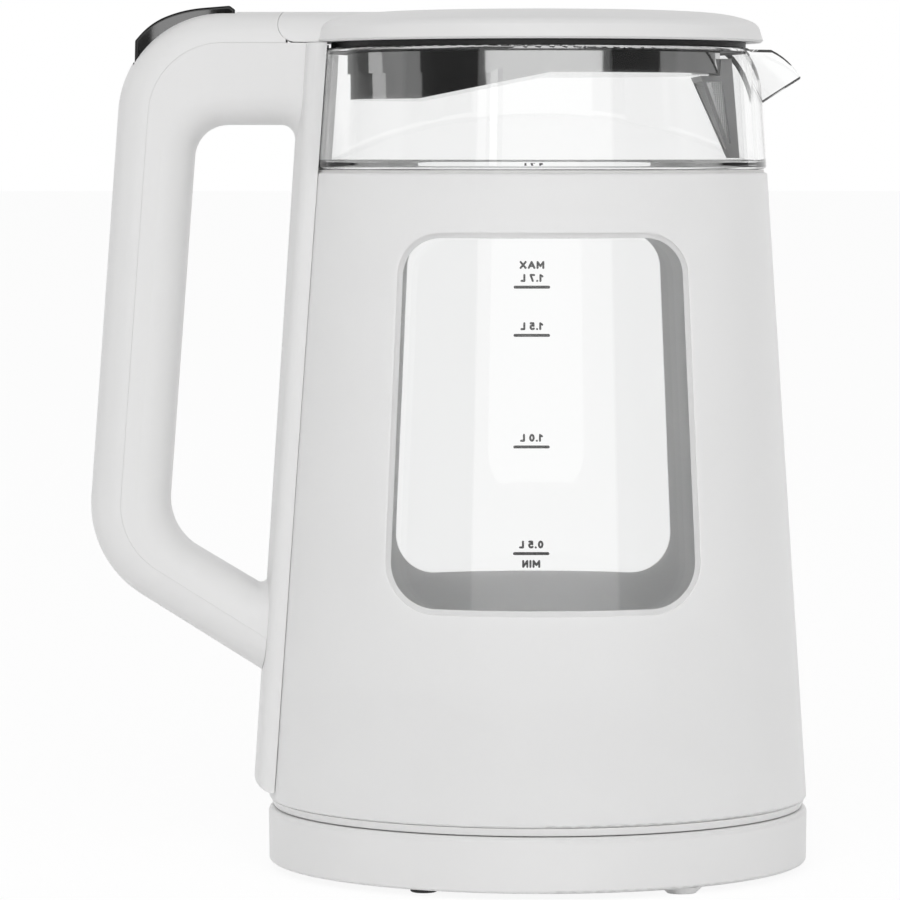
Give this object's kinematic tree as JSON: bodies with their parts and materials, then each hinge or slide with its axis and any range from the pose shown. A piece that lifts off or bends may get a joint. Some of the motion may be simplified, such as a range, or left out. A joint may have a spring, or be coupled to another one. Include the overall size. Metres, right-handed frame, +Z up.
{
  "type": "electric kettle",
  "caption": "Cordless electric kettle: glass jug in a windowed white casing with spout, hinged lid, loop handle with rocker switch, on a round power base.",
  "frame": {"origin": "on the kettle's vertical axis, on the plane the feet stand on", "axes": "+Z up; +X the pouring direction, so the handle is on the -X side; the cord outlet is on the +Y side"},
  "size_m": [0.2149, 0.162, 0.258],
  "materials": {
    "white_plastic": "satin white moulded",
    "black_gloss": "piano black",
    "black_plastic": "fine matt black",
    "grey_plastic": "light grey moulded",
    "dark_rubber": "soft matt",
    "pale_silicone": "translucent soft",
    "jug_glass": "clear moulded",
    "plate_steel": "circular brushed",
    "mirror_steel": "polished",
    "screw_steel": "zinc plated",
    "cast_aluminium": "rolled",
    "contact_brass": "plain",
    "bimetal": "rolled",
    "wire_sleeve": "glass braid sleeve",
    "woven_steel": "woven wire"
  },
  "bodies": {
    "base": {"base_shell": "white_plastic", "base_bottom_plate": "white_plastic", "base_feet": "dark_rubber", "base_screws": "screw_steel", "cord_outlet": "white_plastic", "connector_plug": "black_plastic", "plug_contacts": "contact_brass", "pin_spring": "contact_brass", "base_wires": "wire_sleeve"},
    "centre_pin": {"centre_pin": "contact_brass"},
    "kettle": {"bottom_cover": "white_plastic", "cover_screws": "screw_steel", "jug_carrier": "grey_plastic", "plate_seal": "pale_silicone", "heater_plate": "plate_steel", "heat_spreader": "cast_aluminium", "heating_element": "plate_steel", "thermal_control": "black_plastic", "snap_discs": "bimetal", "connector_socket": "black_plastic", "socket_contacts": "contact_brass", "outer_casing": "white_plastic", "glass_jug": "jug_glass", "shoulder_gasket": "pale_silicone", "handle_body": "white_plastic", "handle_cover": "white_plastic", "spine_screws": "screw_steel", "hinge_bracket": "black_plastic", "hinge_pin": "screw_steel", "steam_switch": "black_plastic", "steam_disc": "bimetal", "rocker_pin": "screw_steel", "handle_wires": "wire_sleeve"},
    "lid": {"lid_cover": "white_plastic", "lid_tray": "black_plastic", "lid_screws": "screw_steel", "lid_seal": "dark_rubber", "lid_cup": "mirror_steel"},
    "filter": {"filter_frame": "grey_plastic", "filter_mesh": "woven_steel"},
    "rocker": {"rocker_cap": "black_gloss"}
  },
  "joints": [
    {"name": "base swivel", "type": "hinge", "parent": "base", "child": "centre_pin", "pos_m": [0, 0, 0.018], "axis": [0, 0, 1], "continuous": true},
    {"name": "kettle lift", "type": "slide", "parent": "centre_pin", "child": "kettle", "axis": [0, 0, 1], "range_m": [0, 0.08]},
    {"name": "lid hinge", "type": "hinge", "parent": "kettle", "child": "lid", "pos_m": [-0.0723, 0, 0.25235], "axis": [0, -1, 0], "range_deg": [0, 80]},
    {"name": "rocker tip", "type": "hinge", "parent": "kettle", "child": "rocker", "pos_m": [-0.1054, 0, 0.2486], "axis": [0, -1, 0], "range_deg": [0, 6]},
    {"name": "filter pull", "type": "slide", "parent": "lid", "child": "filter", "axis": [0, 0, -1], "range_m": [0, 0.03]}
  ]
}
